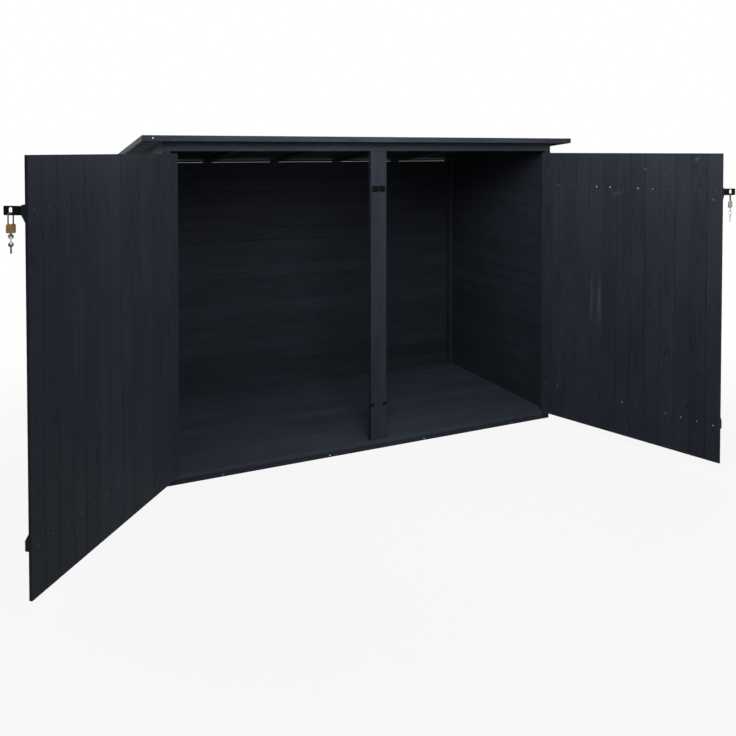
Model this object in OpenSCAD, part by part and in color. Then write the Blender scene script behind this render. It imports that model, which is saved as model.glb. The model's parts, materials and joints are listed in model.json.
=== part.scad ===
/* [Body] */
// Width over the side walls
body_w = 2060; // [1700:10:2600]
// Depth from the front posts to the back of the rear wall
body_d = 1050; // [800:10:1400]
// Thickness of the wall boards
wall_t = 12; // [9:1:20]
// Width of a corner post, seen from the front
post_w = 24; // [20:1:45]
// Depth of a corner post, front to back
post_d = 40; // [30:1:60]
// Width of each half of the centre post
stud_w = 42; // [30:1:60]
// Depth of the centre post, front to back
stud_d = 26; // [24:1:60]

/* [Base] */
// Height of the bearers and joists that lie on the ground
bearer_h = 25; // [18:1:60]
// Width of a bearer or joist
bearer_w = 34; // [24:1:60]
// Thickness of the floor boards
deck_t = 18; // [12:1:28]
// Distance between joists
joist_pitch = 515; // [350:5:600]

/* [Roof] */
// Slope of the roof down to the back, in degrees
roof_pitch = 5.4; // [3:0.1:12]
// Thickness of the roof boards
roof_t = 16; // [12:1:24]
// Roof overhang past each side wall
side_overhang = 92; // [40:1:150]
// Roof overhang past the front posts
front_overhang = 59; // [30:1:120]
// Roof overhang past the rear wall
rear_overhang = 59; // [30:1:120]
// Height of the edge trim all round the roof
edge_trim_h = 25; // [20:1:50]
// Thickness of the edge trim
edge_trim_t = 14; // [10:1:25]
// Height of a rafter
rafter_h = 16; // [14:1:45]
// Width of a rafter
rafter_w = 50; // [30:1:70]
// Height of the lintel's front face
lintel_h = 46; // [30:1:90]
// Thickness of the lintel
lintel_t = 24; // [18:1:40]

/* [Doors] */
// Height of a door
door_h = 1400; // [1100:5:1700]
// Thickness of the door boards
board_t = 11; // [8:1:20]
// Thickness of the ledges screwed across the boards
ledge_t = 14; // [10:1:24]
// Height of a ledge against the boards
ledge_h = 58; // [45:1:90]
// Height of the bevel along a ledge
ledge_bevel = 24; // [8:1:30]
// Distance from a door's end to its ledge
ledge_inset = 155; // [100:5:300]
// Gap under and beside a door
door_gap = 6; // [5:0.5:10]
// Gap over a door
top_gap = 10; // [5:0.5:20]
// How far the left door stands open, in degrees
left_open = 129; // [0:1:180]
// How far the right door stands open, in degrees
right_open = 109; // [0:1:180]

/* [Hinges] */
// Height of a hinge
hinge_h = 42; // [30:1:80]
// Outer radius of a hinge knuckle
knuckle_r = 5; // [4:0.5:8]
// Radius of a hinge pin
pin_r = 2.5; // [1.5:0.25:3.5]
// Thickness of a hinge leaf
leaf_t = 1.8; // [1:0.1:2.4]
// Width of a hinge leaf on the wood
leaf_w = 22; // [15:1:25]
// Gap between a door's hinged edge and its post
hinge_gap = 5; // [5:0.5:8]
// Running clearance of a pin in its knuckle
run_clear = 0.05; // [0.02:0.01:0.1]

/* [Hasps] */
// Height of a hasp
hasp_h = 30; // [24:1:40]
// Thickness of the hasp's strap and plates
hasp_t = 2; // [1.5:0.1:3]
// Length of the strap from its pin to its end
strap_len = 64; // [55:1:80]
// Distance from the strap's pin to the middle of its slot
slot_at = 40; // [34:1:50]
// Width of the slot
slot_w = 12; // [10:0.5:14]
// Height of the slot
slot_h = 20; // [18:1:24]
// Outer radius of the hasp's knuckle
hasp_knuckle_r = 3.5; // [3:0.25:5]
// Radius of the hasp's pin
hasp_pin_r = 1.75; // [1:0.25:2.5]
// Length of the hasp's plate on the ledge
hasp_plate_len = 36; // [28:1:60]
// Distance from a door's free edge to the hasp's pin
hasp_inset = 10; // [6:1:20]
// How far the left strap is swung out from flat, in degrees
left_hasp_open = 85; // [45:1:135]
// How far the right strap is swung out from flat, in degrees
right_hasp_open = 58; // [45:1:135]
// Radius of the wire of a staple
staple_r = 2.5; // [2:0.25:3.5]
// Height of a staple's loop, between wire centres
staple_h = 14; // [12:0.5:18]
// Reach of a staple out of its plate
staple_out = 14; // [12:0.5:18]

/* [Padlocks] */
// Width of a padlock's body
lock_w = 28; // [24:1:40]
// Height of a padlock's body
lock_h = 28; // [24:1:40]
// Thickness of a padlock's body
lock_t = 13; // [10:1:18]
// Radius of the shackle's wire
shackle_r = 2.25; // [1.75:0.25:3]
// Distance between the shackle's legs, between wire centres
shackle_span = 15; // [13:0.5:20]
// Length of the straight part of the shackle's legs
shackle_leg = 28; // [20:1:40]
// Turn of a hanging padlock against its strap, in degrees
lock_turn = 42; // [38:1:60]
// Diameter of a key's bow
key_bow = 17; // [14:1:22]
// Thickness of a key
key_t = 2; // [1.5:0.1:3]
// Length of a key's blade
key_len = 20; // [16:1:32]
// Radius of the key ring, to the middle of its wire
ring_r = 7; // [6:0.5:12]
// Radius of the key ring's wire
ring_wire = 0.7; // [0.5:0.1:1]

/* [Hidden] */

$fn = 48;
stain = "#2b2f38";
black_steel = "#1c1d20";
brass = "#b08a4a";
bright_steel = "#b9bcc0";

// Clearance that keeps turning parts apart at their ends
end_clear = 0.3;
// Small overlap that fuses the pieces of one solid
weld = 0.2;
// Air between a knuckle and the wood behind it
knuckle_air = 0.5;
// Air between a hanging piece and what it hangs on
hang_air = 0.5;
// Air between the sloping roof boards and the rafters and lintel that carry them
seat_air = 0.2;
// Corner radius of the hasp's plates and of the padlock's body
corner_r = 3;
// Distance from the top of a ledge to the top of its hasp
hasp_drop = 4;
// Part of a key that shows between its lock and its bow
key_neck = 2;
key_hole_r = key_bow / 6;
key_hole_at = key_bow / 4;

half_w = body_w / 2;
// The front posts stand flush with the front bearer, whose middle line is y = 0
front_y = -bearer_w / 2;
rear_y = front_y + body_d;
floor_z = bearer_h + deck_t;
door_z = floor_z + door_gap;
lintel_z = door_z + door_h + top_gap;
roof_z = lintel_z + lintel_h;
slope = tan(roof_pitch);
rafter_drop = rafter_h / cos(roof_pitch);
roof_rise = roof_t / cos(roof_pitch);
trim_rise = edge_trim_h / cos(roof_pitch);
rafter_count = 6;
rafter_pitch = (body_w - rafter_w) / (rafter_count - 1);

// Hinge pin, measured from the middle of the shelter, and how far it stands in front of the posts
pin_x = half_w - wall_t - post_w - hinge_gap / 2;
pin_out = knuckle_r + knuckle_air;
pin_y = front_y - pin_out;
// A door is drawn with its hinge pin at the origin, closed, reaching along +x, inside face to +y
door_x0 = hinge_gap / 2;
door_x1 = pin_x - stud_w - door_gap;
ledge_y0 = pin_out;
board_y0 = ledge_y0 + ledge_t;
upper_ledge_z = door_z + door_h - ledge_inset;
lower_ledge_z = door_z + ledge_inset;
upper_hinge_z = upper_ledge_z - ledge_h / 2;
lower_hinge_z = lower_ledge_z + ledge_h / 2;
hasp_z = upper_ledge_z - hasp_h / 2 - hasp_drop;
hasp_x = door_x1 - hasp_inset;
hasp_out = hasp_knuckle_r + knuckle_air;
hasp_y = ledge_y0 - hasp_out;
staple_x = pin_x - hasp_x - slot_at;
shackle_top_z = hasp_z - slot_h / 2 + shackle_r + hang_air;
shackle_bend_z = shackle_top_z - shackle_span / 2;
lock_top_z = shackle_bend_z - shackle_leg;
lock_low_z = lock_top_z - lock_h;
// Height of the bow of the key in the lock, of the ring through it and of the bow of the spare key
key_z = lock_low_z - key_neck - key_bow / 2;
ring_z = key_z - key_hole_at - key_hole_r + ring_wire + hang_air - ring_r;
spare_z = ring_z - ring_r - key_hole_r + ring_wire + hang_air - key_hole_at;

// Height of the roof's underside at a distance y from the front bearer's middle line
function underside(y) = roof_z - (y - front_y) * slope;

// A bar from corner to corner
module bar(from, to) {
    translate(from) cube(to - from);
}

// A shape drawn in the y-z plane and run along x from x0 to x1
module along_x(x0, x1) {
    translate([x0, 0, 0]) rotate([90, 0, 90]) linear_extrude(x1 - x0) children();
}

// A strip under the roof's slope, from y0 to y1, between two heights measured up from the underside
module slope_strip(y0, y1, low, high) {
    polygon([
        [y0, underside(y0) + low], [y1, underside(y1) + low],
        [y1, underside(y1) + high], [y0, underside(y0) + high]
    ]);
}

// An upright panel from y0 to y1, from the floor to the bottom of the rafters
module upright(y0, y1, drop) {
    polygon([
        [y0, floor_z], [y1, floor_z], [y1, underside(y1) - drop], [y0, underside(y0) - drop]
    ]);
}

// Places a left-hand piece on its own side of the shelter
module on_side(side) {
    if (side == "left") children();
    else mirror([1, 0, 0]) children();
}

// Places a piece drawn on the closed door onto the open one
module on_door(side) {
    on_side(side)
        translate([-pin_x, pin_y, 0])
            rotate(side == "left" ? -left_open : -right_open) children();
}

// Places a piece drawn on the flat hasp strap, with its pin at the origin, onto the swung one
module on_strap(side) {
    on_door(side) translate([hasp_x, hasp_y, hasp_z])
        rotate(side == "left" ? -left_hasp_open : -right_hasp_open) children();
}

// Places a piece drawn round the padlock's upright middle line
module on_lock(side) {
    on_strap(side) translate([slot_at, 0, -hasp_z])
        rotate(side == "left" ? lock_turn : -lock_turn) children();
}

module rounded_rect(w, h, r) {
    square([w - 2 * r, h], center = true);
    square([w, h - 2 * r], center = true);
    for (sx = [-1, 1], sy = [-1, 1])
        translate([sx * (w / 2 - r), sy * (h / 2 - r)]) circle(r);
}

// The front bearer and the rear one
module base_bearers() {
    color(stain)
        for (y = [front_y, rear_y - bearer_w])
            bar([-half_w, y, 0], [half_w, y + bearer_w, bearer_h]);
}

// Joists stand on both sides of the middle, half a pitch from it, and one at each end
module base_joists() {
    color(stain) {
        inner = floor((half_w - bearer_w - joist_pitch / 2) / joist_pitch);
        end_at = half_w - bearer_w / 2;
        places = [for (k = [0:inner]) joist_pitch / 2 + k * joist_pitch];
        for (at = concat(places, [end_at]), s = [-1, 1])
            bar([s * at - bearer_w / 2, front_y + bearer_w, 0],
                [s * at + bearer_w / 2, rear_y - bearer_w, bearer_h]);
    }
}

module floor_deck() {
    color(stain) bar([-half_w, front_y, bearer_h], [half_w, rear_y, floor_z]);
}

module front_post(side) {
    color(stain) on_side(side)
        bar([wall_t - half_w, front_y, floor_z], [wall_t + post_w - half_w, front_y + post_d, lintel_z]);
}

module rear_post(side) {
    color(stain) on_side(side)
        along_x(wall_t - half_w, wall_t + post_w - half_w)
            upright(rear_y - wall_t - post_d, rear_y - wall_t, rafter_drop);
}

module center_post(side) {
    color(stain) on_side(side)
        bar([-stud_w, front_y, floor_z], [0, front_y + stud_d, lintel_z]);
}

module front_lintel() {
    color(stain) along_x(-half_w, half_w)
        polygon([
            [front_y, lintel_z], [front_y + lintel_t, lintel_z],
            [front_y + lintel_t, underside(front_y + lintel_t)], [front_y, roof_z]
        ]);
}

// A side wall steps round the lintel's end and rises to the outer rafter
module side_wall(side) {
    color(stain) on_side(side)
        along_x(-half_w, wall_t - half_w)
            polygon([
                [front_y, floor_z], [rear_y, floor_z], [rear_y, underside(rear_y) - rafter_drop],
                [front_y + lintel_t, underside(front_y + lintel_t) - rafter_drop],
                [front_y + lintel_t, lintel_z], [front_y, lintel_z]
            ]);
}

module back_wall() {
    color(stain) along_x(wall_t - half_w, half_w - wall_t)
        upright(rear_y - wall_t, rear_y, rafter_drop);
}

// The rail that carries the rafters along the top of the back wall
module back_top_rail() {
    rail_x = half_w - wall_t - post_w;
    y1 = rear_y - wall_t;
    y0 = y1 - rafter_h;
    color(stain) along_x(-rail_x, rail_x)
        slope_strip(y0, y1, -rafter_drop - post_d, -rafter_drop);
}

module rafter(k) {
    x0 = -half_w + (k - 1) * rafter_pitch;
    color(stain) along_x(x0, x0 + rafter_w)
        slope_strip(front_y + lintel_t, rear_y, -rafter_drop, 0);
}

module roof_deck() {
    color(stain) along_x(-half_w - side_overhang + edge_trim_t, half_w + side_overhang - edge_trim_t)
        slope_strip(front_y - front_overhang + edge_trim_t, rear_y + rear_overhang - edge_trim_t,
            seat_air, roof_rise);
}

// Trim along the front or rear edge of the roof boards, starting at y0
module roof_end_trim(y0) {
    color(stain) along_x(-half_w - side_overhang, half_w + side_overhang)
        slope_strip(y0, y0 + edge_trim_t, roof_rise - trim_rise, roof_rise);
}

module roof_front_trim() {
    roof_end_trim(front_y - front_overhang);
}

module roof_rear_trim() {
    roof_end_trim(rear_y + rear_overhang - edge_trim_t);
}

// Trim along one side of the roof boards, between the front trim and the rear one
module roof_side_trim(side) {
    out_x = half_w + side_overhang;
    color(stain) on_side(side) along_x(-out_x, edge_trim_t - out_x)
        slope_strip(front_y - front_overhang + edge_trim_t, rear_y + rear_overhang - edge_trim_t,
            roof_rise - trim_rise, roof_rise);
}

// One hinge leaf on the face x = 0 of its wood: the plate and the knuckles at the given heights
module hinge_leaf(dir, spans) {
    difference() {
        union() {
            translate([dir > 0 ? hinge_gap / 2 - leaf_t : -hinge_gap / 2, pin_out, -hinge_h / 2])
                cube([leaf_t, leaf_w, hinge_h]);
            for (s = spans) {
                translate([0, 0, s[0]]) cylinder(r = knuckle_r, h = s[1] - s[0]);
                translate([dir > 0 ? hinge_gap / 2 - leaf_t : -hinge_gap / 2, 0, s[0]])
                    cube([leaf_t, pin_out + weld, s[1] - s[0]]);
            }
        }
        translate([0, 0, -hinge_h])
            cylinder(r = pin_r + (dir > 0 ? run_clear : -weld), h = 2 * hinge_h);
    }
}

// The post's leaf carries the two outer knuckles and the pin
module hinge_post_leaf() {
    third = hinge_h / 6;
    hinge_leaf(-1, [[-hinge_h / 2, -third - end_clear], [third + end_clear, hinge_h / 2]]);
    translate([0, 0, -hinge_h / 2]) cylinder(r = pin_r, h = hinge_h);
}

module hinge_door_leaf() {
    third = hinge_h / 6;
    hinge_leaf(1, [[-third, third]]);
}

module hinge_post_leaves() {
    color(black_steel)
        for (side = ["left", "right"], z = [upper_hinge_z, lower_hinge_z])
            on_side(side) translate([-pin_x, pin_y, z]) hinge_post_leaf();
}

module hinge_door_leaves(side) {
    color(black_steel) on_door(side)
        for (z = [upper_hinge_z, lower_hinge_z])
            translate([0, 0, z]) hinge_door_leaf();
}

module door_boards(side) {
    color(stain) on_door(side)
        bar([door_x0, board_y0, door_z], [door_x1, board_y0 + board_t, door_z + door_h]);
}

// Ledges lie on the outside of the boards, bevelled on the edge that faces the door's middle
module upper_ledge(side) {
    color(stain) on_door(side) along_x(door_x0, door_x1)
        polygon([
            [ledge_y0, upper_ledge_z], [board_y0, upper_ledge_z],
            [board_y0, upper_ledge_z - ledge_h], [ledge_y0, upper_ledge_z - ledge_h + ledge_bevel]
        ]);
}

module lower_ledge(side) {
    color(stain) on_door(side) along_x(door_x0, door_x1)
        polygon([
            [ledge_y0, lower_ledge_z], [board_y0, lower_ledge_z],
            [board_y0, lower_ledge_z + ledge_h], [ledge_y0, lower_ledge_z + ledge_h - ledge_bevel]
        ]);
}

// The hasp's plate with its two outer knuckles and the pin
module hasp_plate(side) {
    third = hasp_h / 6;
    color(black_steel) on_door(side) translate([hasp_x, hasp_y, hasp_z]) {
        translate([-hasp_plate_len, hasp_out - hasp_t, -hasp_h / 2])
            cube([hasp_plate_len - hasp_knuckle_r - end_clear, hasp_t, hasp_h]);
        for (z = [-hasp_h / 2, third + end_clear]) translate([0, 0, z]) {
            cylinder(r = hasp_knuckle_r, h = 2 * third - end_clear);
            translate([-hasp_knuckle_r - end_clear - weld, hasp_out - hasp_t, 0])
                cube([hasp_knuckle_r + end_clear + weld, hasp_t, 2 * third - end_clear]);
        }
        translate([0, 0, -hasp_h / 2]) cylinder(r = hasp_pin_r, h = hasp_h);
    }
}

// The strap with its slot, and the middle knuckle that turns on the pin
module hasp_strap(side) {
    third = hasp_h / 6;
    start = hasp_knuckle_r + end_clear;
    color(black_steel) on_strap(side) difference() {
        union() {
            rotate([90, 0, 0]) translate([0, 0, -hasp_t / 2]) linear_extrude(hasp_t) difference() {
                translate([(start + strap_len) / 2, 0]) rounded_rect(strap_len - start, hasp_h, corner_r);
                translate([slot_at, 0]) rounded_rect(slot_w, slot_h, slot_w / 3);
            }
            translate([0, 0, -third]) cylinder(r = hasp_knuckle_r, h = 2 * third);
            translate([0, -hasp_t / 2, -third]) cube([start + weld, hasp_t, 2 * third]);
        }
        translate([0, 0, -hasp_h]) cylinder(r = hasp_pin_r + run_clear, h = 2 * hasp_h);
    }
}

// A wire staple on a plate, on the front of the centre post
module staple(side) {
    straight = staple_out - staple_h / 2 - staple_r;
    color(black_steel) on_side(side) translate([-staple_x, front_y, hasp_z]) {
        translate([0, -hasp_t / 2, 0]) rotate([90, 0, 0])
            translate([0, 0, -hasp_t / 2]) linear_extrude(hasp_t)
                rounded_rect(2 * staple_x - hasp_t, hasp_h, corner_r);
        for (s = [-1, 1])
            translate([0, 0, s * staple_h / 2]) rotate([90, 0, 0])
                cylinder(r = staple_r, h = hasp_t + straight);
        translate([0, -hasp_t - straight, 0]) rotate([90, 0, 0]) rotate([0, 90, 0])
            rotate_extrude(angle = 180, start = 90) translate([staple_h / 2, 0]) circle(staple_r);
    }
}

module padlock_body(side) {
    color(brass) on_lock(side) translate([0, 0, (lock_top_z + lock_low_z) / 2])
        rotate([90, 0, 0]) translate([0, 0, -lock_t / 2])
            linear_extrude(lock_t) rounded_rect(lock_w, lock_h, corner_r);
}

module padlock_shackle(side) {
    color(bright_steel) on_lock(side) {
        for (s = [-1, 1])
            translate([s * shackle_span / 2, 0, lock_top_z]) cylinder(r = shackle_r, h = shackle_leg);
        translate([0, 0, shackle_bend_z]) rotate([90, 0, 0])
            rotate_extrude(angle = 180) translate([shackle_span / 2, 0]) circle(shackle_r);
    }
}

// A key drawn in the x-z plane with its bow's middle at the origin and its blade of a given length up
module flat_key(blade) {
    rotate([90, 0, 0]) translate([0, 0, -key_t / 2]) linear_extrude(key_t) difference() {
        union() {
            circle(key_bow / 2);
            translate([-key_bow / 6, 0]) square([key_bow / 3, key_bow / 2 + blade]);
        }
        translate([0, -key_hole_at]) circle(key_hole_r);
    }
}

// The key in the lock shows its bow and neck; a ring hangs in it and carries a spare key
module padlock_keys(side) {
    color(bright_steel) on_lock(side) {
        translate([0, 0, key_z]) flat_key(key_neck);
        translate([0, 0, ring_z]) rotate([0, 90, 0])
            rotate_extrude() translate([ring_r, 0]) circle(ring_wire);
        translate([0, 0, spare_z]) rotate([180, 0, 0]) flat_key(key_len);
    }
}

base_bearers();
base_joists();
floor_deck();
front_post("left");  // left_front_post
front_post("right");  // right_front_post
center_post("left");  // center_post_left
center_post("right");  // center_post_right
rear_post("left");  // left_rear_post
rear_post("right");  // right_rear_post
front_lintel();
side_wall("left");  // left_wall
side_wall("right");  // right_wall
back_wall();
back_top_rail();
rafter(1);  // rafter_1
rafter(2);  // rafter_2
rafter(3);  // rafter_3
rafter(4);  // rafter_4
rafter(5);  // rafter_5
rafter(6);  // rafter_6
roof_deck();
roof_front_trim();
roof_rear_trim();
roof_side_trim("left");  // roof_left_trim
roof_side_trim("right");  // roof_right_trim
hinge_post_leaves();
staple("left");  // left_staple
staple("right");  // right_staple
door_boards("left");  // left_door_boards
upper_ledge("left");  // left_upper_ledge
lower_ledge("left");  // left_lower_ledge
hinge_door_leaves("left");  // left_hinge_door_leaves
hasp_plate("left");  // left_hasp_plate
hasp_strap("left");  // left_hasp_strap
padlock_body("left");  // left_padlock_body
padlock_shackle("left");  // left_padlock_shackle
padlock_keys("left");  // left_padlock_keys
door_boards("right");  // right_door_boards
upper_ledge("right");  // right_upper_ledge
lower_ledge("right");  // right_lower_ledge
hinge_door_leaves("right");  // right_hinge_door_leaves
hasp_plate("right");  // right_hasp_plate
hasp_strap("right");  // right_hasp_strap
padlock_body("right");  // right_padlock_body
padlock_shackle("right");  // right_padlock_shackle
padlock_keys("right");  // right_padlock_keys
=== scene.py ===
# %% [markdown]
# # A timber bike shelter
# The shelter is a low wooden box with a sloping roof and two wide doors that stand open.
# The solids come from the frame, so this lesson is about what makes them look like stained timber:
# board joints, softened corners, grain, screw heads and well used metalwork.

# %% Load the frame
import json
import math
import random

import bpy
from mathutils import Matrix, Vector

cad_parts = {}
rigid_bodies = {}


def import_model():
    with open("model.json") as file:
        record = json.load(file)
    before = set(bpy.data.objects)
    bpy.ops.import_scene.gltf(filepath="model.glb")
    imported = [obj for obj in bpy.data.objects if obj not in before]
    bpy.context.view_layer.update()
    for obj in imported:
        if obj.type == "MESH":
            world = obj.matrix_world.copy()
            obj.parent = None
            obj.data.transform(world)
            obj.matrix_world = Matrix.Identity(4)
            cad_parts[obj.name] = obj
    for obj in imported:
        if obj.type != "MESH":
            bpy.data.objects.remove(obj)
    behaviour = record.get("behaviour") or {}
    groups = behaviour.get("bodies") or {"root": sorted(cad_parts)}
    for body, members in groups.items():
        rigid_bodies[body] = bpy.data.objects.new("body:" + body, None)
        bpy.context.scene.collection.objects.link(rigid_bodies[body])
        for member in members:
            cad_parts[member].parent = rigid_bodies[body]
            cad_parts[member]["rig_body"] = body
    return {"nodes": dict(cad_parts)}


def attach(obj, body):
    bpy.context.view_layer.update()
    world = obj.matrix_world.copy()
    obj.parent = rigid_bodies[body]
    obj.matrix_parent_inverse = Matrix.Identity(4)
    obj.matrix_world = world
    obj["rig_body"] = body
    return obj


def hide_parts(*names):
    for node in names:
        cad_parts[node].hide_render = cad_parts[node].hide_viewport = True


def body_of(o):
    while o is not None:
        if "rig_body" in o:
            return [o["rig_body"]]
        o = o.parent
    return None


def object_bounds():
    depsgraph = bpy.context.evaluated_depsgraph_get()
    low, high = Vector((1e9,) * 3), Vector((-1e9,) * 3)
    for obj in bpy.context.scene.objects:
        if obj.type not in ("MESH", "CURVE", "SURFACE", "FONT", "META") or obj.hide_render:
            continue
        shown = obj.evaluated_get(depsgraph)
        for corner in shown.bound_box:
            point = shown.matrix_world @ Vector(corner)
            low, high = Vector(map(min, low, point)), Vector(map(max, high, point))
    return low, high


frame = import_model()
cad_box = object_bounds()
nodes = frame["nodes"]
extent = [round(v, 3) for v in cad_box[1] - cad_box[0]]
print("loaded", len(nodes), "solids; the shelter measures", extent, "m")

# %% [markdown]
# An operator works on everything that is selected, and the frame arrives selected.
# Three small helpers keep that in hand: one picks a single piece, one opens it for editing, one closes it.

# %% Pick, open and close a piece
def pick(piece):
    if bpy.context.mode != "OBJECT":
        bpy.ops.object.mode_set(mode="OBJECT")
    bpy.ops.object.select_all(action="DESELECT")
    piece.select_set(True)
    bpy.context.view_layer.objects.active = piece


def open_up(piece, mode="VERT"):
    pick(piece)
    bpy.ops.object.mode_set(mode="EDIT")
    bpy.ops.mesh.select_mode(type=mode)
    bpy.ops.mesh.select_all(action="SELECT")


def close_up():
    bpy.ops.object.mode_set(mode="OBJECT")


print("helpers ready in", bpy.context.mode, "mode")

# %% [markdown]
# Each colour is written as a hex value, as a paint chart gives it, and one function makes it linear.
# One more function adds a shader node: the dictionary holds sockets, as values or as links.

# %% Colours and shader nodes
def paint(code):
    parts = [int(code[k : k + 2], 16) / 255 for k in (1, 3, 5)]
    return tuple(c / 12.92 if c <= 0.04045 else ((c + 0.055) / 1.055) ** 2.4 for c in parts) + (1.0,)


def add(tree, kind, sockets=None, **settings):
    made = tree.nodes.new(kind)
    for key, value in settings.items():
        setattr(made, key, value)
    for key, value in (sockets or {}).items():
        if isinstance(value, bpy.types.NodeSocket):
            tree.links.new(value, made.inputs[key])
        else:
            made.inputs[key].default_value = value
    return made


def empty_material(name):
    material = bpy.data.materials.new(name)
    material.use_nodes = True
    material.node_tree.nodes.clear()
    return material, material.node_tree


print("stain in linear light:", [round(c, 4) for c in paint("#2a2f38")])

# %% [markdown]
# The timber is planed softwood with a blue-black stain that soaks in unevenly.
# Under the stain the year rings still show as fine streaks, and knots stay as darker spots.
# A flat noise would be quicker, but it looks the same on every board. Rings lie round a pith line, so each board
# carries its own pith as an attribute, and the pattern is a true section through a log.
# The turn lays the pattern's long axis along the board.

# %% Stained softwood
RING_MM = 5.0
STREAK_MM = 3.2
KNOT_CELL_MM = 118.0
KNOT_SHARE = 0.24
CHECK_MM = 9.0
DRIFT_PER_M = (9, 9, 1.5)
SOAK_PER_M = (11, 11, 2.6)


def stained_softwood(name, turn, light="#2a2f38", dark="#121419", scuffs=(), gloss=0.07):
    material, tree = empty_material(name)
    place = add(tree, "ShaderNodeTexCoord").outputs["Object"]
    pith = add(tree, "ShaderNodeAttribute", attribute_name="pith").outputs["Vector"]
    tone = add(tree, "ShaderNodeAttribute", attribute_name="tone").outputs["Fac"]
    centred = add(tree, "ShaderNodeVectorMath", {0: place, 1: pith}, operation="SUBTRACT").outputs[0]
    log = add(tree, "ShaderNodeMapping", {"Vector": centred, "Rotation": turn.to_euler()}).outputs[0]

    # Knots: some cells of a flat Voronoi pattern hold one, about 14 mm across
    knot_scale = (1000 / KNOT_CELL_MM, 0, 700 / KNOT_CELL_MM)
    flat = add(tree, "ShaderNodeMapping", {"Vector": log, "Scale": knot_scale})
    cell = add(tree, "ShaderNodeTexVoronoi", {"Vector": flat.outputs[0], "Scale": 1.0})
    luck = add(tree, "ShaderNodeSeparateColor", {"Color": cell.outputs["Color"]})
    has_knot = add(tree, "ShaderNodeMath", {0: luck.outputs[0], 1: KNOT_SHARE}, operation="LESS_THAN")
    near = add(
        tree, "ShaderNodeMapRange", {"Value": cell.outputs["Distance"], "From Min": 0.34, "From Max": 0.03},
        interpolation_type="SMOOTHSTEP",
    )
    core = add(
        tree, "ShaderNodeMapRange", {"Value": cell.outputs["Distance"], "From Min": 0.085, "From Max": 0.045},
        interpolation_type="SMOOTHSTEP",
    )
    swirl = add(tree, "ShaderNodeMath", {0: near.outputs[0], 1: has_knot.outputs[0]}, operation="MULTIPLY")
    knot = add(tree, "ShaderNodeMath", {0: core.outputs[0], 1: has_knot.outputs[0]}, operation="MULTIPLY")
    bend = add(tree, "ShaderNodeMath", {0: swirl.outputs[0], 1: 16.0}, operation="MULTIPLY")

    # Rings that wander slowly along the log, drawn round the pith
    slow = add(tree, "ShaderNodeMapping", {"Vector": log, "Scale": DRIFT_PER_M})
    drift = add(tree, "ShaderNodeTexNoise", {"Vector": slow.outputs[0], "Scale": 1.0, "Detail": 2.0})
    wander = add(
        tree, "ShaderNodeVectorMath", {0: drift.outputs["Color"], 1: (0.05, 0.05, 0.0), 2: log},
        operation="MULTIPLY_ADD",
    ).outputs[0]
    ring_scale = 2 * math.pi / 20 * 1000 / RING_MM
    rings = add(
        tree, "ShaderNodeTexWave", {"Vector": wander, "Scale": ring_scale, "Phase Offset": bend.outputs[0]},
        wave_type="RINGS", rings_direction="Z", wave_profile="SAW",
    ).outputs["Fac"]

    # Fibre streaks are finer than a pixel on the real boards, so they are drawn a little coarser here
    streak_scale = (1000 / STREAK_MM, 1000 / STREAK_MM, 6)
    fibre_at = add(tree, "ShaderNodeMapping", {"Vector": wander, "Scale": streak_scale})
    fibre = add(
        tree, "ShaderNodeTexNoise",
        {"Vector": fibre_at.outputs[0], "Scale": 1.0, "Detail": 3.0, "Roughness": 0.6},
    ).outputs["Fac"]
    soak_at = add(tree, "ShaderNodeMapping", {"Vector": log, "Scale": SOAK_PER_M})
    soak = add(
        tree, "ShaderNodeTexNoise",
        {"Vector": soak_at.outputs[0], "Scale": 1.0, "Detail": 4.0, "Roughness": 0.62},
    ).outputs["Fac"]

    # Drying checks: short dark dashes along the fibre, a few on each board
    check_scale = (1000 / CHECK_MM, 1000 / CHECK_MM, 100 / CHECK_MM)
    check_at = add(tree, "ShaderNodeMapping", {"Vector": log, "Scale": check_scale})
    check = add(tree, "ShaderNodeTexNoise", {"Vector": check_at.outputs[0], "Scale": 1.0, "Detail": 1.0})
    dash = add(
        tree, "ShaderNodeMapRange",
        {"Value": check.outputs["Fac"], "From Min": 0.66, "From Max": 0.74, "To Max": 0.3},
    )

    # Depth of the stain: streaks, rings, soaking and the tone of the whole board
    streaked = add(tree, "ShaderNodeMath", {0: fibre, 1: 0.55, 2: -0.2}, operation="MULTIPLY_ADD").outputs[0]
    ringed = add(tree, "ShaderNodeMath", {0: rings, 1: 0.22, 2: streaked}, operation="MULTIPLY_ADD").outputs[0]
    soaked = add(tree, "ShaderNodeMath", {0: soak, 1: 0.65, 2: ringed}, operation="MULTIPLY_ADD").outputs[0]
    toned = add(tree, "ShaderNodeMath", {0: tone, 1: soaked}, operation="ADD").outputs[0]
    checked = add(tree, "ShaderNodeMath", {0: toned, 1: dash.outputs[0]}, operation="SUBTRACT").outputs[0]
    pale = add(
        tree, "ShaderNodeMath", {0: knot.outputs[0], 1: -0.5, 2: checked},
        operation="MULTIPLY_ADD", use_clamp=True,
    ).outputs[0]
    colour = add(tree, "ShaderNodeMix", {"Factor": pale, 6: paint(dark), 7: paint(light)}, data_type="RGBA")
    shown = colour.outputs[2]

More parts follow.
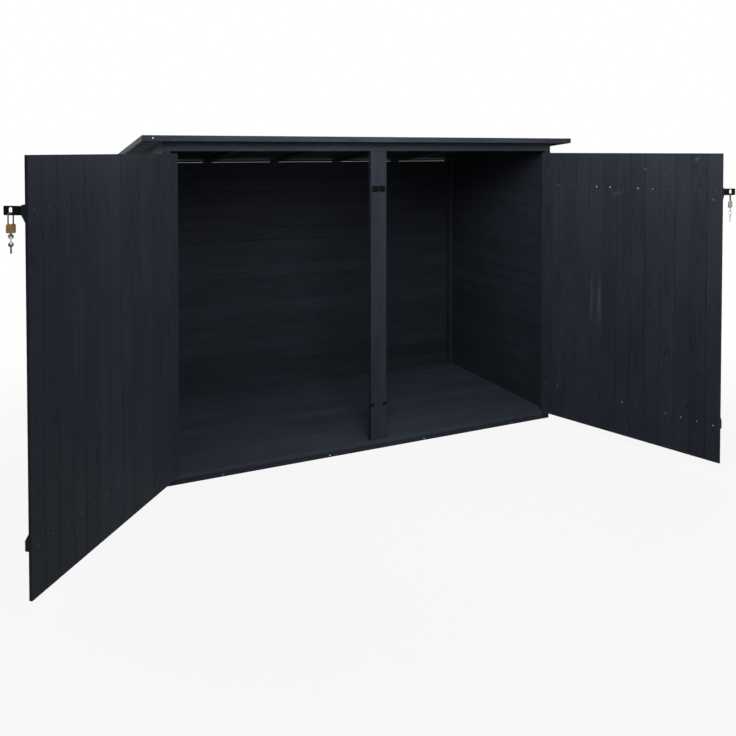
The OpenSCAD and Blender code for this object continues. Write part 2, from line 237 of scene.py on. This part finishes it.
    # Pale rubs on a door's inner face, only skin deep
    for lean, away, half_mm, shade in scuffs:
        rub_at = add(tree, "ShaderNodeMapping", {"Vector": place, "Location": away, "Rotation": lean.to_euler()})
        rub_scale = [1000 / mm for mm in half_mm]
        ball = add(tree, "ShaderNodeMapping", {"Vector": rub_at.outputs[0], "Scale": rub_scale})
        reach = add(tree, "ShaderNodeTexGradient", {"Vector": ball.outputs[0]}, gradient_type="SPHERICAL")
        rub = add(tree, "ShaderNodeMath", {0: reach.outputs["Fac"], 1: fibre}, operation="MULTIPLY").outputs[0]
        rubbed = add(tree, "ShaderNodeMix", {"Factor": rub, 6: shown, 7: paint(shade)}, data_type="RGBA")
        shown = rubbed.outputs[2]

    # Raised fibre and late wood catch a little light
    sheen = add(
        tree, "ShaderNodeMapRange",
        {"Value": fibre, "From Min": 0.3, "From Max": 0.7, "To Min": 0.58, "To Max": 0.78},
    ).outputs[0]
    relief = add(tree, "ShaderNodeMath", {0: rings, 1: 0.35, 2: fibre}, operation="MULTIPLY_ADD").outputs[0]
    bump = add(tree, "ShaderNodeBump", {"Height": relief, "Strength": 0.35, "Distance": 0.0006}).outputs[0]
    stain = add(
        tree, "ShaderNodeBsdfPrincipled",
        {"Base Color": shown, "Roughness": sheen, "Normal": bump, "Specular IOR Level": gloss},
    )
    add(tree, "ShaderNodeOutputMaterial", {"Surface": stain.outputs[0]})
    return material


print("rings", RING_MM, "mm apart, streaks", STREAK_MM, "mm")

# %% [markdown]
# Boards run in several directions, and each direction needs its own turn of the grain. One material could read
# the turn from an attribute, but a material for each is easier to follow and to change.
# Floor and roof are a little paler than the rest. The trims are paler too: that is painted light, standing in
# for the light that falls on the lintel and the roof's edge trims.

# %% Wood for the walls, floor, roof and frame
turn_x = Matrix.Rotation(math.radians(90), 3, "X")
turn_y = Matrix.Rotation(math.radians(90), 3, "Y")
turn_z = Matrix.Rotation(math.radians(90), 3, "Z")
deck_turn = turn_z @ turn_y
side_turn = turn_z @ turn_x
upright_wood = stained_softwood("stained_softwood_upright", Matrix.Identity(3))
across_wood = stained_softwood("stained_softwood_across", turn_y)
decking_wood = stained_softwood("stained_softwood_decking", deck_turn, light="#3a404a", dark="#1d2026")
roof_wood = stained_softwood("stained_softwood_roof", deck_turn, light="#2f343d", dark="#16181d", gloss=0.02)
# The trims' paler colours are painted light, standing in for light on the lintel and the roof's front and rear
# trims
trim_wood_painted_light = stained_softwood("stained_softwood_trim_painted_light", turn_y, light="#353b45", dark="#191c22")
depth_wood = stained_softwood("stained_softwood_depth", turn_x)
side_wood = stained_softwood("stained_softwood_side", side_turn)
print("made", sum(m.name.startswith("stained") for m in bpy.data.materials), "stained finishes")

# %% [markdown]
# The doors stand open, so their grain is turned with them. A few pale rubs mark the inside of the right door.
# Their places are given on the closed door, in metres from the foot of its hinge pin, and turned with it.

# %% Wood for the doors
PIN = {"left": Vector((-0.9915, -0.0225, 0)), "right": Vector((0.9915, -0.0225, 0))}
DOOR_SIGN = {"left": 1, "right": -1}
door_turn = {
    "left": Matrix.Rotation(math.radians(129), 3, "Z"),
    "right": Matrix.Rotation(math.radians(-109), 3, "Z"),
}
# Place, lean in degrees, half sizes in millimetres, shade
rub_spots = (
    ((-0.300, 0.03, 0.715), 0, (13, 8, 150), "#3b4347"),
    ((-0.343, 0.03, 0.700), 0, (13, 8, 150), "#424b4f"),
    ((-0.436, 0.03, 1.248), -18, (42, 8, 15), "#3e424d"),
    ((-0.832, 0.03, 1.424), -45, (24, 8, 11), "#474d5a"),
)
door_rubs = []
for spot, degrees, half_mm, shade in rub_spots:
    lean = Matrix.Rotation(math.radians(degrees), 3, "Y")
    lean_turn = lean @ door_turn["right"]
    away = -(lean_turn @ PIN["right"]) - lean @ Vector(spot)
    door_rubs.append((lean_turn, away, half_mm, shade))
door_wood = {
    "left": stained_softwood("stained_softwood_left_door", door_turn["left"]),
    "right": stained_softwood("stained_softwood_right_door", door_turn["right"], scuffs=door_rubs),
}
ledge_turn = {side: turn_y @ door_turn[side] for side in PIN}
ledge_wood = {side: stained_softwood(f"stained_softwood_{side}_ledge", ledge_turn[side]) for side in PIN}
print("door finishes:", [wood.name for wood in (*door_wood.values(), *ledge_wood.values())])

# %% [markdown]
# The metal parts are small and close to the eye: black powder coat on hinges and hasps, machined brass on the
# padlocks, bright plating on shackles and keys, and zinc on the screws. Each could be one plain colour, but a
# perfectly even metal looks like plastic, so each gets fine grit and worn patches.

# %% Metal finishes
PATCH_GRITS = 14


def metal_finish(name, code, worn_code, metallic, rough, grit_mm, relief, level=0.5):
    material, tree = empty_material(name)
    place = add(tree, "ShaderNodeTexCoord").outputs["Object"]
    patch_mm = grit_mm * PATCH_GRITS
    grit = add(tree, "ShaderNodeTexNoise", {"Vector": place, "Scale": 1000 / grit_mm, "Detail": 3.0})
    cloud = add(tree, "ShaderNodeTexNoise", {"Vector": place, "Scale": 1000 / patch_mm, "Detail": 4.0})
    patch = cloud.outputs["Fac"]
    worn = add(tree, "ShaderNodeMapRange", {"Value": patch, "From Min": 0.42, "From Max": 0.7}).outputs[0]
    colour = add(tree, "ShaderNodeMix", {"Factor": worn, 6: paint(code), 7: paint(worn_code)}, data_type="RGBA")
    gloss = add(
        tree, "ShaderNodeMapRange",
        {"Value": patch, "From Min": 0.3, "From Max": 0.7, "To Min": rough - 0.07, "To Max": rough + 0.1},
    )
    bump = add(tree, "ShaderNodeBump", {"Height": grit.outputs["Fac"], "Strength": relief, "Distance": 0.0002})
    surface = add(
        tree, "ShaderNodeBsdfPrincipled",
        {
            "Base Color": colour.outputs[2], "Metallic": metallic, "Roughness": gloss.outputs[0],
            "Normal": bump.outputs[0], "Specular IOR Level": level,
        },
    )
    add(tree, "ShaderNodeOutputMaterial", {"Surface": surface.outputs[0]})
    return material


# A baked black coat, so flat that the plates read as silhouettes
black_coat = metal_finish("powder_coated_steel_black", "#040506", "#0b0c0e", 0.0, 0.6, 0.9, 0.25, 0.05)
# Milled brass, warm on the left lock and dulled to a grey gold on the right one
lock_brass = {
    "left": metal_finish("machined_brass", "#816544", "#6a5033", 1.0, 0.38, 0.7, 0.1),
    "right": metal_finish("machined_brass_dulled", "#7d796e", "#6a655a", 1.0, 0.38, 0.7, 0.1),
}
# Plated keys with soft, bright reflections, and a darker hardened shackle
bright_plate = metal_finish("plated_steel_bright", "#6f6e69", "#464541", 1.0, 0.3, 0.6, 0.06)
shackle_steel = metal_finish("hardened_steel_shackle", "#525254", "#37373a", 1.0, 0.32, 0.6, 0.06)
# Zinc heads: clean ones sparkle, dulled ones are grey, stained ones almost vanish in the wood
screw_zinc = metal_finish("zinc_plated_screw", "#c6c9cc", "#a5a9ad", 1.0, 0.42, 0.5, 0.1)
screw_dulled = metal_finish("zinc_plated_screw_dulled", "#7b7f84", "#64686d", 1.0, 0.46, 0.5, 0.1)
screw_stained = metal_finish("screw_dulled_by_stain", "#383d45", "#272b32", 0.6, 0.55, 0.5, 0.1)
print("metals:", [m.name for m in bpy.data.materials if not m.name.startswith("stained")])

# %% [markdown]
# A piece of timber starts as a copy of its solid. The copy arrives as loose triangles, so it is merged and its
# flat faces are cleaned up. After shaping, every face gets its pith and tone: the grain then knows which board
# it is on. Stain gathers in the joints, more in some than in others, so these are darker.
# The numbers come from seeded generators, so each run gives the same shelter.

# %% Copy a solid and hand it on
chance = random.Random(41)
joint_chance = random.Random(7)


def copy_solid(node, name):
    piece = bpy.data.objects.new(name, nodes[node].data.copy())
    bpy.context.scene.collection.objects.link(piece)
    piece.data.materials.clear()
    pick(piece)
    bpy.ops.mesh.customdata_custom_splitnormals_clear()
    open_up(piece)
    bpy.ops.mesh.remove_doubles(threshold=0.00001)
    bpy.ops.mesh.dissolve_limited(angle_limit=math.radians(0.3))
    close_up()
    return piece


def give_grain(piece, material, turn, board_of, gathered=lambda centre: 0):
    piece.data.materials.append(material)
    back = turn.transposed()
    groups = {}
    for face in piece.data.polygons:
        groups.setdefault(board_of(face.center), []).append(face)
    piece.data.attributes.new("pith", "FLOAT_VECTOR", "FACE")
    piece.data.attributes.new("tone", "FLOAT", "FACE")
    piths = piece.data.attributes["pith"].data
    tones = piece.data.attributes["tone"].data
    for board in sorted(groups):
        faces = groups[board]
        middle = sum((f.center for f in faces), Vector()) / len(faces)
        side = chance.choice((-1, 1))
        offset = Vector((chance.uniform(-0.03, 0.03), side * chance.uniform(0.025, 0.10), chance.uniform(-4, 4)))
        tone = chance.uniform(-0.08, 0.08)
        for face in faces:
            piths[face.index].vector = middle + back @ offset
            tones[face.index].value = tone - gathered(face.center)


def hand_on(piece, node):
    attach(piece, body_of(nodes[node])[0])
    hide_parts(node)


print("grain seed set")

# %% [markdown]
# Walls, doors, floor and roof are rows of tongued boards. The joint between two boards is a small V-groove.
# It could be painted as a dark line, but then it would be flat when light falls along the wall.
# To cut one, the panel is bisected three times close together, and the middle ring of points is drawn inwards.
# The panel stays one closed solid, so no light leaks through the joints.

# %% Cut board joints
def cut_joints(piece, start, across, joints, groove):
    for joint in joints:
        for step in (-groove, 0, groove):
            open_up(piece)
            bpy.ops.mesh.bisect(plane_co=start + across * (joint + step), plane_no=across)
        bpy.ops.mesh.select_all(action="DESELECT")
        close_up()
        for point in piece.data.vertices:
            point.select = abs((point.co - start).dot(across) - joint) < 0.00002
        bpy.ops.object.mode_set(mode="EDIT")
        bpy.ops.transform.shrink_fatten(value=-groove * joint_chance.uniform(0.8, 1.5))
        close_up()


def boarded(node, name, material, turn, start, across, joints, groove=0.0017):
    piece = copy_solid(node, name)
    cut_joints(piece, start, across, joints, groove)
    depth = {joint: joint_chance.uniform(0.04, 0.32) for joint in joints}

    def along(centre):
        return (centre - start).dot(across)

    give_grain(
        piece, material, turn,
        lambda centre: sum(along(centre) > j for j in joints),
        lambda centre: sum(depth[j] for j in joints if abs(along(centre) - j) < groove),
    )
    hand_on(piece, node)


print("a joint is a V about 3 mm wide")

# %% [markdown]
# A door's boards are counted from its free edge, where the last board is cut narrower. The wall boards are
# counted up from the floor, and the planks of floor and roof from the front.

# %% Board the doors, walls, floor and roof
BOARD = 0.0737
FREE_BOARD = 0.0657
DOOR_FREE = 0.9435
door_joints = [DOOR_FREE - FREE_BOARD - BOARD * k for k in range(11, -1, -1)]
for side, sign in DOOR_SIGN.items():
    door_across = door_turn[side].transposed() @ Vector((sign, 0, 0))
    boarded(
        f"{side}_door_boards", f"{side}_door_tongued_boards", door_wood[side], door_turn[side],
        PIN[side], door_across, door_joints,
    )

floor_line = Vector((0, 0, 0.043))
up = Vector((0, 0, 1))
wall_joints = [BOARD * k for k in range(1, 20)]
for side in PIN:
    boarded(f"{side}_wall", f"{side}_wall_boards", side_wood, side_turn, floor_line, up, wall_joints)
boarded("back_wall", "back_wall_boards", across_wood, turn_y, floor_line, up, wall_joints[:18])

PLANK = 0.105
ROOF_START = 0.045
front_line = Vector((0, -0.017, 0))
inward = Vector((0, 1, 0))
floor_joints = [PLANK * k for k in range(1, 10)]
roof_joints = [PLANK * k - ROOF_START for k in range(1, 11)]
boarded("floor_deck", "floor_boards", decking_wood, deck_turn, front_line, inward, floor_joints, 0.0011)
boarded("roof_deck", "roof_boards", roof_wood, deck_turn, front_line, inward, roof_joints, 0.0014)

# %% [markdown]
# Posts, rafters, bearers, ledges and trims are sawn to size and their corners are eased with a plane.
# A Bevel modifier would do it too. Here the sharp edges are selected by their angle and bevelled a little in
# edit mode, so that the grain can then be given face by face. The bevel catches the light as real timber does.

# %% Ease the corners of the frame timbers
def eased(node, material, turn, arris):
    piece = copy_solid(node, node + "_eased")
    open_up(piece, "EDGE")
    bpy.ops.mesh.select_all(action="DESELECT")
    bpy.ops.mesh.edges_select_sharp(sharpness=math.radians(12))
    bpy.ops.mesh.bevel(offset=arris, segments=2, affect="EDGES")
    close_up()
    give_grain(piece, material, turn, lambda centre: 0)
    hand_on(piece, node)


posts = ("left_front_post", "right_front_post", "center_post_left", "center_post_right")
for node in posts + ("left_rear_post", "right_rear_post"):
    eased(node, upright_wood, Matrix.Identity(3), 0.0015)
for node in ("base_bearers", "back_top_rail"):
    eased(node, across_wood, turn_y, 0.0014)
# The lintel and roof trims take the trim wood, whose paler colour is painted light
for node in ("front_lintel", "roof_front_trim", "roof_rear_trim"):
    eased(node, trim_wood_painted_light, turn_y, 0.0014)
for node in ["base_joists"] + [f"rafter_{k}" for k in range(1, 7)]:
    eased(node, depth_wood, turn_x, 0.0014)
for side in PIN:
    eased(f"roof_{side}_trim", side_wood, side_turn, 0.0014)
for side in PIN:
    for level in ("upper", "lower"):
        eased(f"{side}_{level}_ledge", ledge_wood[side], ledge_turn[side], 0.0012)

# %% [markdown]
# Hinges, hasps and staples keep their solids, which are already true to the real plates, pins and knuckles.
# They only need their finish: the black coat, hard steel on the shackles and bright plating on the keys.

# %% Finish the metalwork
metalwork = {
    "hinge": black_coat, "hasp": black_coat, "staple": black_coat,
    "shackle": shackle_steel, "keys": bright_plate,
}
for name, node in nodes.items():
    for word, finish in metalwork.items():
        if word in name:
            node.data.materials.clear()
            node.data.materials.append(finish)
print("finished", sum(any(word in name for word in metalwork) for name in nodes), "metal solids")

# %% [markdown]
# A screw head is a shallow dome with a cross recess. It could be cut with a Boolean, which leaves long thin
# faces. Here it starts as a ring of twelve points. Four of the inner points are drawn in, which turns the small
# ring into a cross, and the cross is pushed down. One head is modelled, and every other head is a copy of it.

# %% Model one screw head
HEAD = 0.0032
RIM = 0.0005
DOME = 0.0004
RECESS = 0.0007


def screw_head():
    bpy.ops.object.select_all(action="DESELECT")
    bpy.ops.mesh.primitive_circle_add(
        vertices=12, radius=HEAD, fill_type="NGON", rotation=(0, 0, math.radians(15))
    )
    head = bpy.context.object
    head.name = "screw_head_pattern"
    bpy.ops.object.transform_apply(location=True, rotation=True, scale=True)
    open_up(head, "FACE")
    bpy.ops.mesh.extrude_region_move(TRANSFORM_OT_translate={"value": (0, 0, RIM)})
    bpy.ops.mesh.inset(thickness=HEAD * 0.22)
    bpy.ops.transform.translate(value=(0, 0, DOME))
    bpy.ops.mesh.inset(thickness=HEAD * 0.25)
    close_up()
    ring = HEAD * 0.53
    for point in head.data.vertices:
        diagonal = abs(abs(point.co.x) - abs(point.co.y)) < 0.00005
        point.select = diagonal and point.co.z > 0.0008 and point.co.xy.length < ring * 1.05
    bpy.ops.object.mode_set(mode="EDIT")
    bpy.ops.mesh.select_mode(type="VERT")
    bpy.ops.transform.resize(value=(0.4, 0.4, 1))
    close_up()
    top = max(head.data.polygons, key=lambda f: (round(f.center.z, 5), -f.center.xy.length))
    for face in head.data.polygons:
        face.select = face.index == top.index
    bpy.ops.object.mode_set(mode="EDIT")
    bpy.ops.mesh.select_mode(type="FACE")
    bpy.ops.mesh.extrude_region_move(TRANSFORM_OT_translate={"value": (0, 0, -RECESS)})
    close_up()
    return head


pattern = screw_head()
print("screw head:", len(pattern.data.polygons), "faces,", round(pattern.dimensions.x * 1000, 1), "mm across")

# %% [markdown]
# Heads are set by place and direction, and the heads of one row are joined into one piece.
# Each is spun by chance, because nobody lines up the crosses of their screws.

# %% Set a row of screws
def set_screws(name, places, material, body, scale=1.0):
    heads = []
    for spot, turn in places:
        head = pattern.copy()
        head.data = pattern.data.copy()
        bpy.context.scene.collection.objects.link(head)
        spin = Matrix.Rotation(chance.uniform(0, math.pi), 4, "Z")
        head.data.transform(Matrix.Translation(spot) @ turn.to_4x4() @ spin @ Matrix.Scale(scale, 4))
        heads.append(head)
    bpy.ops.object.select_all(action="DESELECT")
    for head in heads:
        head.select_set(True)
    bpy.context.view_layer.objects.active = heads[0]
    bpy.ops.object.join()
    row = bpy.context.object
    row.name = name
    row.data.materials.clear()
    row.data.materials.append(material)
    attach(row, body)


face_in = Matrix.Rotation(math.radians(-90), 3, "X")
face_out = Matrix.Rotation(math.radians(90), 3, "X")
print("heads face in or out of the front")

# %% [markdown]
# A door's screws are given on the closed door, as its maker would mark them, and then turned with it.
# Every board has one screw at each ledge. On the right door some heads kept their plating, some are dulled,
# and two stray ones sit off the rows. All the others took the stain.

# %% Screws on the doors
BOARD_FACE = 0.0305
HINGE_EDGE = 0.0025
HASP_Z = 1.275
HINGE_Z = (1.265, 0.233)
LEAF_PITCH = 0.0135
board_middles = [(HINGE_EDGE + door_joints[0]) / 2] + [j + BOARD / 2 for j in door_joints]
clean_heads = {1.278: (4, 5, 7), 0.215: ()}
dulled_heads = {1.278: (1, 8), 0.215: (0, 1, 6, 9, 10, 11, 12)}
stray_heads = ((0.582, 1.371), (0.906, 1.24))


def on_door(side, x, y, z, turn):
    back = door_turn[side].transposed()
    return PIN[side] + back @ Vector((DOOR_SIGN[side] * x, y, z)), back @ turn


for side, sign in DOOR_SIGN.items():
    clean, dulled, stained = [], [], []
    for z in clean_heads:
        for number, x in enumerate(board_middles):
            mark = on_door(side, x, BOARD_FACE, z, face_in)
            if side == "right" and number in clean_heads[z]:
                clean.append(mark)
            elif side == "right" and number in dulled_heads[z]:
                dulled.append(mark)
            else:
                stained.append(mark)
    if side == "right":
        dulled += [on_door(side, x, BOARD_FACE, z, face_in) for x, z in stray_heads]
        set_screws("right_door_clean_screws", clean, screw_zinc, "right_door")
        set_screws("right_door_dulled_screws", dulled, screw_dulled, "right_door")
    set_screws(f"{side}_door_stained_screws", stained, screw_stained, f"{side}_door")
    to_post = Matrix.Rotation(math.radians(-90 * sign), 3, "Y")
    fittings = [on_door(side, x, 0.0035, HASP_Z + z, face_out) for x in (0.903, 0.92) for z in (-0.009, 0.009)]
    fittings += [on_door(side, 0.0009, 0.0165, z + s * LEAF_PITCH, to_post) for z in HINGE_Z for s in (-1, 1)]
    set_screws(f"{side}_fitting_screws", fittings, black_coat, f"{side}_door", 0.75)

# %% [markdown]
# The body has a row of screws along the roof trim and four in the front bearer. The centre post carries two low
# down and four in the staples' plates, and the corner posts carry those of the hinges.

# %% Screws on the body
FOOT_X = (-0.0325, 0.0325)
FOOT_Z = 0.219
trim_marks = [(Vector((-1.077 + 0.359 * k, -0.076, 1.5145)), face_out) for k in range(7)]
base_marks = [(Vector((x, -0.017, 0.009)), face_out) for x in (-0.772, -0.256, 0.254, 0.778)]
clean_marks = base_marks[1:3] + trim_marks[:1]
dulled_marks = base_marks[:1] + base_marks[3:]
foot_marks = [(Vector((x, -0.0189, FOOT_Z)), face_out) for x in FOOT_X]
post_marks = [
    (Vector((sign * 0.018 + x, -0.019, HASP_Z)), face_out) for sign in (-1, 1) for x in (-0.011, 0.011)
]
post_marks += [
    (Vector((-sign * 0.9924, -0.006, z + s * LEAF_PITCH)), Matrix.Rotation(math.radians(90 * sign), 3, "Y"))
    for sign in (-1, 1) for z in HINGE_Z for s in (-1, 1)
]
set_screws("roof_trim_screws", trim_marks[1:], screw_stained, "shelter")
set_screws("shelter_clean_screws", clean_marks, screw_zinc, "shelter", 0.9)
set_screws("shelter_dulled_screws", dulled_marks, screw_dulled, "shelter", 0.9)
set_screws("post_foot_screws", foot_marks, black_coat, "shelter")
set_screws("post_screws", post_marks, black_coat, "shelter", 0.8)
bpy.data.objects.remove(pattern)

# %% [markdown]
# Washers, collars and plugs are turned discs: a circle, drawn up and stepped in. A cylinder would have a hard
# rim, and the small step softens it as a lathe tool does.
# Two black washers sit under the screws low on the centre post.

# %% Turned discs and washers
def turned_disc(radius, height, step):
    bpy.ops.object.select_all(action="DESELECT")
    bpy.ops.mesh.primitive_circle_add(vertices=28, radius=radius, fill_type="NGON")
    disc = bpy.context.object
    open_up(disc, "FACE")
    bpy.ops.mesh.extrude_region_move(TRANSFORM_OT_translate={"value": (0, 0, height)})
    bpy.ops.mesh.inset(thickness=step)
    bpy.ops.transform.translate(value=(0, 0, step))
    close_up()
    return disc


for number, x in enumerate(FOOT_X, 1):
    washer = turned_disc(radius=0.0095, height=0.0012, step=0.0007)
    washer.name = f"post_washer_{number}"
    washer.data.transform(Matrix.Translation((x, -0.017, FOOT_Z)) @ face_out.to_4x4())
    washer.data.materials.append(black_coat)
    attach(washer, "shelter")
print("washers:", round(washer.dimensions.x * 1000, 1), "mm across")

# %% [markdown]
# The padlock's body is a brass block with rounded edges. Two collars stand round the shackle's legs, and a round
# plug underneath holds the key. They are joined to the block, because the lock's case is one piece of metal.

# %% Padlock bodies
LOCK_FACES = {"left": math.radians(-172), "right": math.radians(29)}
LEG_X = 0.0075


def padlock(side):
    node = f"{side}_padlock_body"
    body = copy_solid(node, f"{side}_padlock_brass")
    open_up(body, "EDGE")
    bpy.ops.mesh.select_all(action="DESELECT")
    bpy.ops.mesh.edges_select_sharp(sharpness=math.radians(40))
    bpy.ops.mesh.bevel(offset=0.0013, segments=3, affect="EDGES")
    close_up()
    corners = [Vector(c) for c in body.bound_box]
    middle = sum(corners, Vector()) / 8
    half = Vector((0, 0, (corners[6].z - corners[0].z) / 2))
    facing = Matrix.Rotation(LOCK_FACES[side], 4, "Z")
    fittings = [body]
    for leg in (-LEG_X, LEG_X):
        collar = turned_disc(radius=0.0039, height=0.0009, step=0.0005)
        collar.data.transform(Matrix.Translation(middle + half + facing @ Vector((leg, 0, 0))))
        fittings.append(collar)
    plug = turned_disc(radius=0.0052, height=0.0007, step=0.0004)
    plug.data.transform(Matrix.Translation(middle - half) @ Matrix.Rotation(math.pi, 4, "X"))
    bpy.ops.object.select_all(action="DESELECT")
    for piece in fittings + [plug]:
        piece.select_set(True)
    bpy.context.view_layer.objects.active = body
    bpy.ops.object.join()
    body.data.materials.clear()
    body.data.materials.append(lock_brass[side])
    pick(body)
    bpy.ops.object.shade_smooth_by_angle(angle=math.radians(35))
    hand_on(body, node)
    return body


for side in PIN:
    lock = padlock(side)
    print(lock.name, [round(d * 1000, 1) for d in lock.dimensions], "mm")

# %% [markdown]
# The shelter stands on a plain pale floor under wide, soft studio light. The floor is white to the camera and to
# glossy rays, less near the shelter, so that its soft shadow still shows there.
# A very bright lamp would whiten it too, but would wash out the dark timber.

# %% Floor
def seen_directly(tree):
    ray = add(tree, "ShaderNodeLightPath").outputs
    seen = {0: ray["Is Camera Ray"], 1: ray["Is Glossy Ray"]}
    seen = add(tree, "ShaderNodeMath", seen, operation="MAXIMUM").outputs[0]
    seen = {0: seen, 1: ray["Is Transmission Ray"]}
    return add(tree, "ShaderNodeMath", seen, operation="MAXIMUM").outputs[0]


bpy.ops.object.select_all(action="DESELECT")
bpy.ops.mesh.primitive_circle_add(vertices=96, radius=40, fill_type="NGON", location=(0, 0, -0.0005))
floor = bpy.context.object
floor.name = "studio_floor"
bpy.ops.object.transform_apply(location=True, rotation=True, scale=True)
floor_paint, tree = empty_material("matt_white_floor")
place = add(tree, "ShaderNodeTexCoord").outputs["Object"]
away = add(tree, "ShaderNodeVectorMath", {0: place}, operation="LENGTH").outputs["Value"]
fade = add(
    tree, "ShaderNodeMapRange",
    {"Value": away, "From Min": 1.2, "From Max": 3.6, "To Min": 0.9, "To Max": 1.0},
    interpolation_type="SMOOTHSTEP",
)
share = add(tree, "ShaderNodeMath", {0: seen_directly(tree), 1: fade.outputs[0]}, operation="MULTIPLY")
matt = add(tree, "ShaderNodeBsdfDiffuse", {"Color": paint("#9a9a9a")})
white = add(tree, "ShaderNodeEmission", {"Color": (1, 1, 1, 1), "Strength": 1.0})
both = add(tree, "ShaderNodeMixShader", {0: share.outputs[0], 1: matt.outputs[0], 2: white.outputs[0]})
add(tree, "ShaderNodeOutputMaterial", {"Surface": both.outputs[0]})
floor.data.materials.append(floor_paint)
print("floor", round(floor.dimensions.x), "m across")

# %% [markdown]
# A softbox stands at each of the four corners, and two smaller ones hang before the open doors, where they light
# the floor and the upper edge of the timber. The inside stays dim, as it does under any roof.
# The sky is white only where the camera or a reflection looks at it.

# %% Light
def lamp(name, place, target, size, power):
    data = bpy.data.lights.new(name, "AREA")
    data.shape = "DISK"
    data.size = size
    data.energy = power
    made = bpy.data.objects.new(name, data)
    made.location = place
    made.rotation_euler = (Vector(target) - Vector(place)).to_track_quat("-Z", "Y").to_euler()
    made.visible_camera = False
    bpy.context.scene.collection.objects.link(made)


lamp("overhead_softbox", (-0.5, -1.6, 2.2), (0.6, -0.2, 1.3), 1.0, 49)
lamp("door_softbox", (0.2, -1.0, 2.3), (0.8, -0.4, 1.2), 1.2, 11)
lamp("left_softbox", (-4.5, -4.5, 1.8), (0.5, 0, 0.8), 3.0, 49)
lamp("right_softbox", (4.0, -5.0, 1.8), (-0.5, 0, 0.8), 3.0, 85)
lamp("rear_left_softbox", (-4.6, 4.2, 2.8), (-0.6, 0.6, 0.8), 3.0, 240)
lamp("rear_right_softbox", (4.6, 4.6, 2.8), (0.6, 0.6, 0.8), 3.0, 240)
world = bpy.data.worlds.new("studio_sky")
bpy.context.scene.world = world
world.use_nodes = True
tree = world.node_tree
tree.nodes.clear()
direction = add(tree, "ShaderNodeTexCoord").outputs["Generated"]
height = add(tree, "ShaderNodeSeparateXYZ", {"Vector": direction}).outputs["Z"]
even = add(
    tree, "ShaderNodeMapRange",
    {"Value": height, "From Min": -0.2, "From Max": 0.9, "To Min": 0.05, "To Max": 0.12},
)
strength = {"Factor": seen_directly(tree), 2: even.outputs[0], 3: 1.0}
level = add(tree, "ShaderNodeMix", strength, data_type="FLOAT")
sky = add(tree, "ShaderNodeBackground", {"Color": (1, 1, 1, 1), "Strength": level.outputs[0]})
add(tree, "ShaderNodeOutputWorld", {"Surface": sky.outputs[0]})

# %% [markdown]
# The camera stands left of the middle at eye height and looks almost level. The upright edges then stay upright,
# and a lens shift brings the shelter into the frame, as a view camera does. Tilting the camera down would frame
# it too, but the posts would lean.

# %% Camera
FRAME_PX = 736
FOCAL_PX = 755.7
MIDDLE_PX = (367.9, 168.5)
SENSOR_MM = 36
eye = bpy.data.cameras.new("camera")
eye.sensor_width = SENSOR_MM
eye.lens = SENSOR_MM * FOCAL_PX / FRAME_PX
eye.shift_x = (FRAME_PX / 2 - MIDDLE_PX[0]) / FRAME_PX
eye.shift_y = (MIDDLE_PX[1] - FRAME_PX / 2) / FRAME_PX
camera = bpy.data.objects.new("camera", eye)
camera.location = (-1.5763, -3.3359, 1.4641)
camera.rotation_euler = (math.radians(90 - 1.403), 0, math.radians(-24.584))
bpy.context.scene.collection.objects.link(camera)
bpy.context.scene.camera = camera
bpy.context.scene.view_settings.view_transform = "Standard"
print("lens", round(eye.lens, 2), "mm, shift", round(eye.shift_x, 4), round(eye.shift_y, 4))
